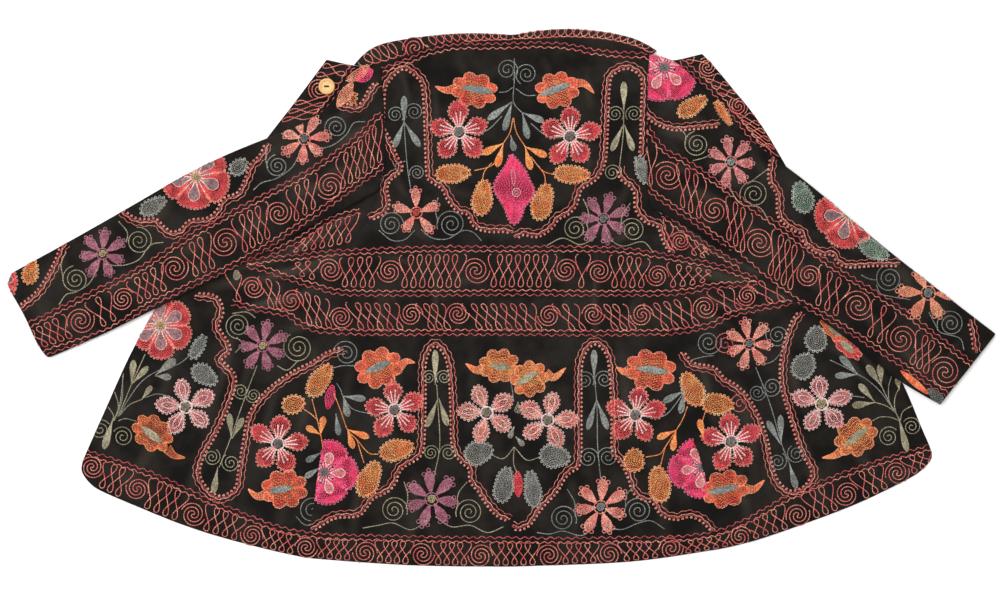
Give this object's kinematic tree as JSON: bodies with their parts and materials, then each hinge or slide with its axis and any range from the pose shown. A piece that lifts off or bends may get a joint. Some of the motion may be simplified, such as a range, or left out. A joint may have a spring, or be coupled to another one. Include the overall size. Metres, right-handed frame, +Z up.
{
  "type": "embroidered velvet coat, laid flat with its back up",
  "caption": "Short fitted velvet coat with a flared skirt, stand collar and chain-stitch embroidery, laid flat with its back up.",
  "frame": {"origin": "middle of the coat's bounding box, on the table it lies on", "axes": "+X to the right seen from above with the collar away, +Y towards the collar, +Z up from the table"},
  "size_m": [1.3594, 0.7404, 0.0099],
  "materials": {
    "velvet": "cut pile, black, worn grey on its folds",
    "thread": "chain stitch in wool and silk, crimson, rose, orange, olive and grey",
    "wood": "turned and waxed"
  },
  "bodies": {
    "root": {"back_left": "velvet", "back_right": "velvet", "side_left": "velvet", "side_right": "velvet", "front_left": "velvet", "front_right": "velvet", "skirt_front_left": "velvet", "skirt_side_left": "velvet", "skirt_back_left": "velvet", "skirt_back_right": "velvet", "skirt_side_right": "velvet", "skirt_front_right": "velvet", "collar_left": "velvet", "sleeve_left": "velvet", "collar_right": "velvet", "sleeve_right": "velvet", "button": "wood"}
  },
  "joints": []
}
